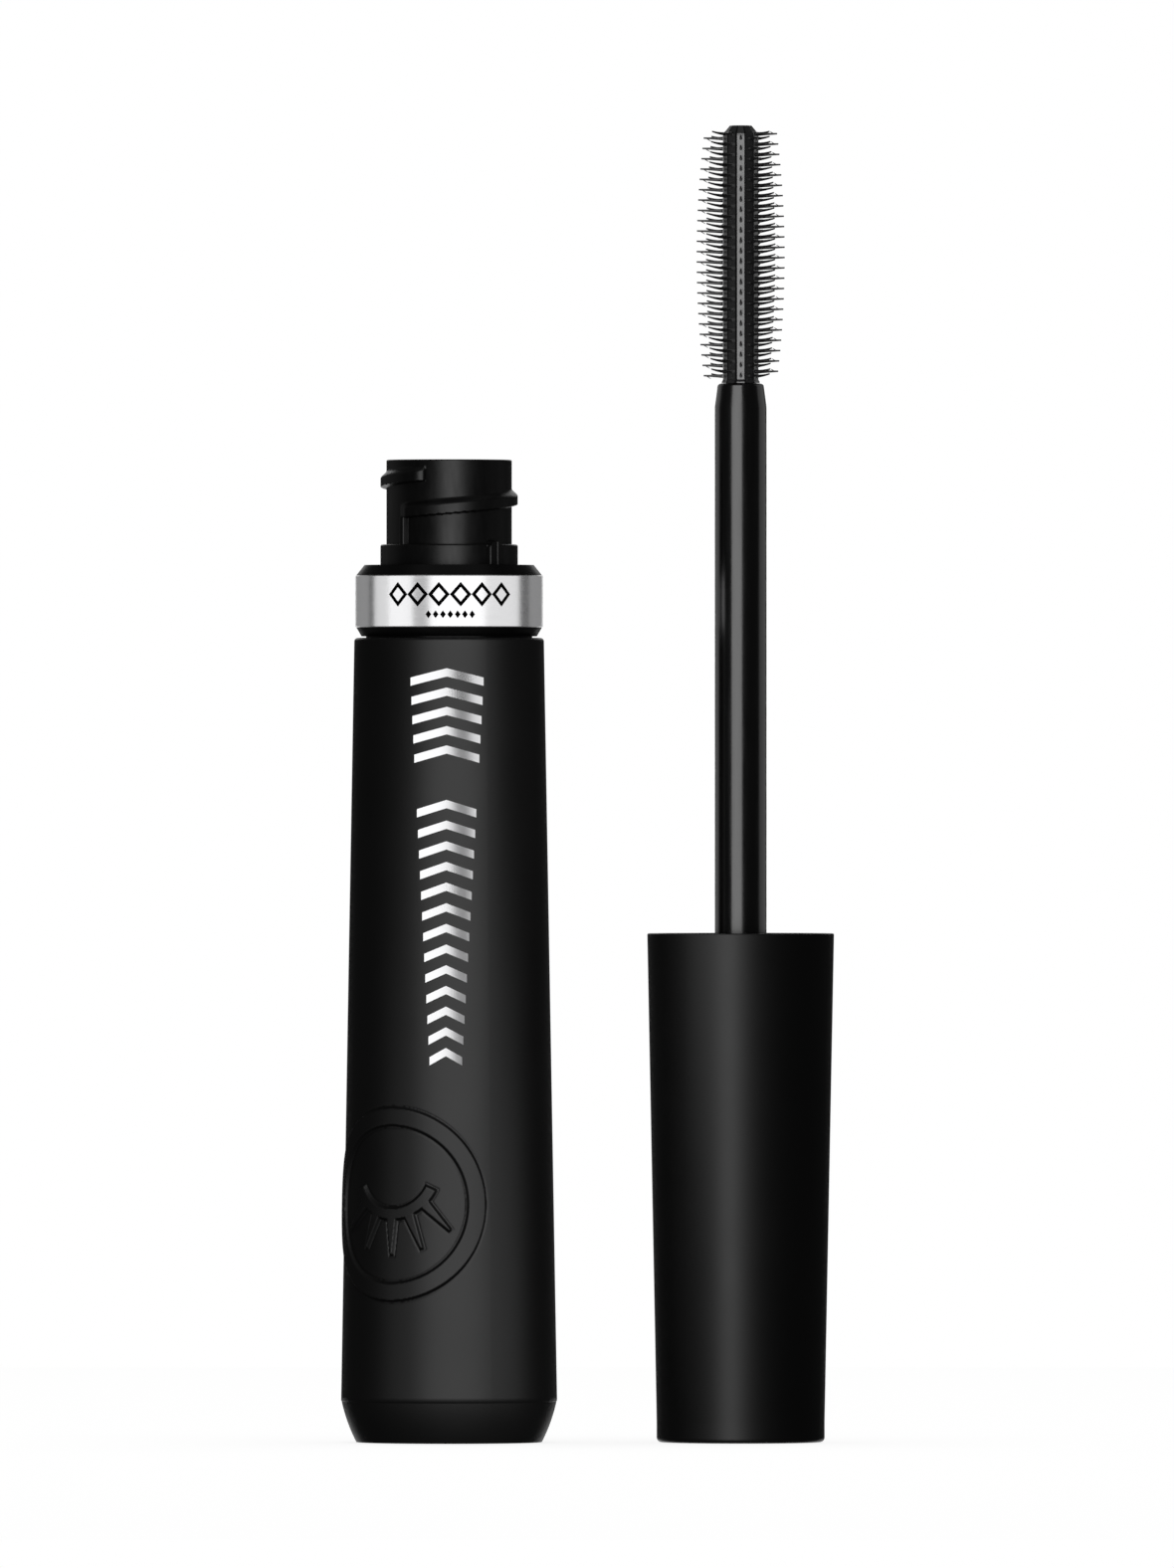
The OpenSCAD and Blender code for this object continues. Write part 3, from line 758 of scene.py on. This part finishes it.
BRISTLE_REACH = (brush_hi.x - brush_lo.x) / 2
PLAIN_REACH = 0.9        # reach of the short plain bristles, as a share of the long ones'
END_REACH = 0.84         # reach at the brush's two ends, as a share of that in the middle
BRISTLE_ROOT = 0.9       # where a bristle starts, as a share of the core's radius
BRISTLE_RINGS = (0.0, 0.12, 0.35, 0.6, 0.8, 0.93, 1.0)
BRISTLE_TALL = (0.44 * MM, 0.15 * MM)  # at the root and at the tip
BRISTLE_WIDE = (0.36 * MM, 0.15 * MM)
BRISTLE_TAPER = 0.6
BRISTLE_SIDES = 8
LEAN_BARBED, LEAN_PLAIN = 0.02, 0.14   # bend to the brush's tip, as a share of the length
BARB_FROM = 0.86         # where a barb grows, as a share of the bristle's length
BARB_BACK = 0.42 * MM
BARB_RISE = 0.27 * MM
BARB_RINGS = ((0.0, 0.2 * MM), (0.5, 0.17 * MM), (1.0, 0.08 * MM))  # place and thickness
BARB_SIDES = 6


def oval(centre, across, along, wide, tall, sides):
    """Ring of points round centre; wide lies along across and tall along along."""
    ring = []
    for i in range(sides):
        a = 2 * math.pi * i / sides
        ring.append(centre + across * (math.cos(a) * wide / 2) + along * (math.sin(a) * tall / 2))
    return ring


def bristle_reach(z):
    """Outline of a barrel, fullest in the middle of the brush."""
    t = (z - FIRST_BRISTLE) / (PITCH * (BRISTLES_PER_ROW - 1)) * 2 - 1
    return BRISTLE_REACH * mix(1.0, END_REACH, t * t)


def add_bristle(verts, faces, centre, angle, reach, barbed):
    """A tapered bristle. Barbed ones are straight; plain ones are shorter and lean to the tip."""
    out = Vector((math.cos(angle), math.sin(angle), 0))
    across = Vector((-math.sin(angle), math.cos(angle), 0))
    up = Vector((0, 0, 1))
    length = reach - CORE_R * BRISTLE_ROOT
    lean = LEAN_BARBED if barbed else LEAN_PLAIN
    base = centre + out * (CORE_R * BRISTLE_ROOT)
    rings = []
    for t in BRISTLE_RINGS:
        tall = mix(*BRISTLE_TALL, t ** BRISTLE_TAPER)
        wide = mix(*BRISTLE_WIDE, t ** BRISTLE_TAPER)
        place = base + out * (length * t) + up * (lean * length * t * t)
        rings.append(oval(place, across, up, wide, tall, BRISTLE_SIDES))
    tube(verts, faces, rings)
    return base, out, across, length


def add_barb(verts, faces, base, out, across, length, side):
    """A small tooth near the tip that points back to the core, on one side of the bristle."""
    root = base + out * (length * BARB_FROM)
    tip = root - out * BARB_BACK + Vector((0, 0, side * BARB_RISE))
    rings = [oval(root.lerp(tip, t), across, out, size, size, BARB_SIDES) for t, size in BARB_RINGS]
    tube(verts, faces, rings)


def add_brush_core(verts, faces):
    """A core with one flat strip under each row of bristles and a chamfered tip."""
    corners = []
    for row in range(BRISTLE_ROWS):
        middle = FRONT + 2 * math.pi * row / BRISTLE_ROWS
        corners += [(middle - CORE_FLAT, 1.0), (middle + CORE_FLAT, 1.0)]
        corners.append((middle + math.pi / BRISTLE_ROWS, CORE_GROOVE))
    outline = [(stem_hi.z + z * MM, size) for z, size in CORE_FOOT]
    outline += [(brush_hi.z + z * MM, size) for z, size in CORE_TIP]
    rings = []
    for z, size in outline:
        ring = []
        for a, share in corners:
            r = CORE_R * size * share
            ring.append(Vector((WAND_X + math.cos(a) * r, math.sin(a) * r, z)))
        rings.append(ring)
    tube(verts, faces, rings)


def add_brush():
    """The core and its bristles. Every second row is barbed, and pairs of rows are staggered."""
    verts, faces = [], []
    add_brush_core(verts, faces)
    core = add_mesh("brush_core", verts, faces, LOOKS["brush_black"], smooth_shade=False)
    verts, faces = [], []
    for row in range(BRISTLE_ROWS):
        angle = FRONT + 2 * math.pi * row / BRISTLE_ROWS
        raised = (row // 2) % 2 == 1
        barbed = row % 2 == 1
        for k in range(BRISTLES_PER_ROW):
            z = FIRST_BRISTLE + PITCH * k + (ROW_SHIFT if raised else 0)
            centre = Vector((WAND_X, 0, z))
            reach = bristle_reach(z) * (1.0 if barbed else PLAIN_REACH)
            base, out, across, length = add_bristle(verts, faces, centre, angle, reach, barbed)
            if barbed:
                add_barb(verts, faces, base, out, across, length, 1 if raised else -1)
    bristles = add_mesh("brush_bristles", verts, faces, LOOKS["brush_black"])
    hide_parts("brush")
    for piece in (core, bristles):
        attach(piece, "cap")
    return core, bristles


# ---------------------------------------------------------------- prints wrapped on round surfaces

PRINT_LIFT = 0.004 * MM
INK_THICKNESS = 0.012 * MM
FOIL_THICKNESS = 0.03 * MM
PRINT_STEP = 0.25 * MM   # length of a print's facets round the surface

FOIL_BOTTOM, FOIL_TOP = 36.8 * MM, 75.4 * MM
FOIL_LEFT = (-1.87 * MM, -3.9 * MM)    # edges of the foil print at its bottom and its top
FOIL_RIGHT = (1.3 * MM, 3.55 * MM)
FOIL_STROKE = 0.8 * MM
FOIL_RISE = 0.9 * MM     # height of a chevron's peak over its ends
FOIL_GROUPS = ((36.8 * MM, 62.6 * MM, 13), (66.2 * MM, 75.4 * MM, 5))  # bottom, top, chevrons

FRIEZE_LEFT, FRIEZE_RIGHT = -6.3 * MM, 6.5 * MM
FRIEZE_LOW, FRIEZE_HIGH = 81.4 * MM, 83.8 * MM
FRIEZE_STROKE = 0.33 * MM
LOZENGES = 6
DOTS = 7
DOT_LEFT, DOT_RIGHT, DOT_Z = -2.0 * MM, 2.3 * MM, 80.65 * MM
DOT_HALF_W, DOT_HALF_H = 0.28 * MM, 0.38 * MM


def add_print(name, strokes, radius_at, thickness, material):
    """Thin raised print on the bottle. Each stroke is four corners (along, z), anticlockwise;
    along is measured round the surface from the front."""
    verts, faces = [], []
    for corners in strokes:
        add_stroke(verts, faces, corners, radius_at, thickness)
    piece = add_mesh(name, verts, faces, material, smooth_shade=False)
    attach(piece, "bottle")
    return piece


def add_stroke(verts, faces, corners, radius_at, thickness):
    """One flat stroke, bent round the surface."""
    low_left, low_right, high_right, high_left = corners
    width = max(abs(low_right[0] - low_left[0]), abs(high_right[0] - high_left[0]))
    columns = max(2, math.ceil(width / PRINT_STEP))
    rings = []
    for i in range(columns + 1):
        low = [mix(a, b, i / columns) for a, b in zip(low_left, low_right)]
        high = [mix(a, b, i / columns) for a, b in zip(high_left, high_right)]
        ring = []
        for (along, z), lift in ((high, 0), (low, 0), (low, thickness), (high, thickness)):
            angle = FRONT + along / radius_at(z)
            r = radius_at(z) + PRINT_LIFT + lift
            ring.append(Vector((math.cos(angle) * r, math.sin(angle) * r, z)))
        rings.append(ring)
    tube(verts, faces, rings)


def foil_edges(z):
    """Left and right edge of the foil print at a height; it narrows downwards."""
    t = (z - FOIL_BOTTOM) / (FOIL_TOP - FOIL_BOTTOM)
    return mix(*FOIL_LEFT, t), mix(*FOIL_RIGHT, t)


def foil_strokes():
    """Two stacks of chevrons that point up."""
    strokes = []
    for low, high, count in FOIL_GROUPS:
        pitch = (high - low - FOIL_STROKE - FOIL_RISE) / (count - 1)
        for z in [low + pitch * i for i in range(count)]:
            left, right = foil_edges(z)
            middle, peak = (left + right) / 2, z + FOIL_RISE
            z_over, peak_over = z + FOIL_STROKE, peak + FOIL_STROKE
            strokes.append(((left, z), (middle, peak), (middle, peak_over), (left, z_over)))
            strokes.append(((middle, peak), (right, z), (right, z_over), (middle, peak_over)))
    return strokes


def lozenge_strokes(x, z, half_w, half_h, stroke):
    """Outline of a lozenge as four mitred strokes, or a full one if the stroke is thick enough."""
    to_side = half_w * half_h / math.hypot(half_w, half_h)
    inner = max(0.0, 1 - stroke / to_side)
    left, right, top, bottom = (-half_w, 0), (half_w, 0), (0, half_h), (0, -half_h)

    def at(point, size=1.0):
        return (x + point[0] * size, z + point[1] * size)

    return [(at(left), at(left, inner), at(top, inner), at(top)),
            (at(right, inner), at(right), at(top), at(top, inner)),
            (at(bottom), at(bottom, inner), at(left, inner), at(left)),
            (at(bottom, inner), at(bottom), at(right), at(right, inner))]


def frieze_strokes():
    """A chain of lozenges over a row of small full ones."""
    strokes = []
    half_w = (FRIEZE_RIGHT - FRIEZE_LEFT) / LOZENGES / 2
    middle, half_h = (FRIEZE_LOW + FRIEZE_HIGH) / 2, (FRIEZE_HIGH - FRIEZE_LOW) / 2
    for i in range(LOZENGES):
        x = FRIEZE_LEFT + half_w * (2 * i + 1)
        strokes += lozenge_strokes(x, middle, half_w, half_h, FRIEZE_STROKE)
    for x in spread(DOT_LEFT, DOT_RIGHT, (DOT_RIGHT - DOT_LEFT) / (DOTS - 1)):
        strokes += lozenge_strokes(x, DOT_Z, DOT_HALF_W, DOT_HALF_H, DOT_HALF_H)
    return strokes


def add_prints():
    foil = add_print("front_foil_chevrons", foil_strokes(), shell_radius, FOIL_THICKNESS,
                     silver_foil())
    frieze = add_print("band_frieze", frieze_strokes(), lambda z: band_hi.x, INK_THICKNESS,
                       LOOKS["collar_black"])
    return foil, frieze


# ---------------------------------------------------------------- build

def cad(*names):
    """CAD nodes by name."""
    return [frame["nodes"][name] for name in names]


def main():
    dress_cad_nodes()
    add_camera()
    add_world()
    shell = add_shell()
    vial = add_vial()
    core, bristles = add_brush()
    foil, frieze = add_prints()
    lit = {
        "shell": [shell] + cad("base_plug", "base_label"),
        "dark": [frieze] + cad("mascara_fill", "paste_film"),
        "neck": [vial] + cad("wiper"),
        "collar": cad("collar_ring"),
        "band": cad("collar_band"),
        "foil": [foil],
        "cap": cad("outer_cap", "inner_cap", "sealing_gasket"),
        "stem": [core] + cad("stem"),
        "bristles": [bristles],
    }
    add_lights(lit, add_floor())
    bpy.context.scene.view_settings.view_transform = "Standard"


main()
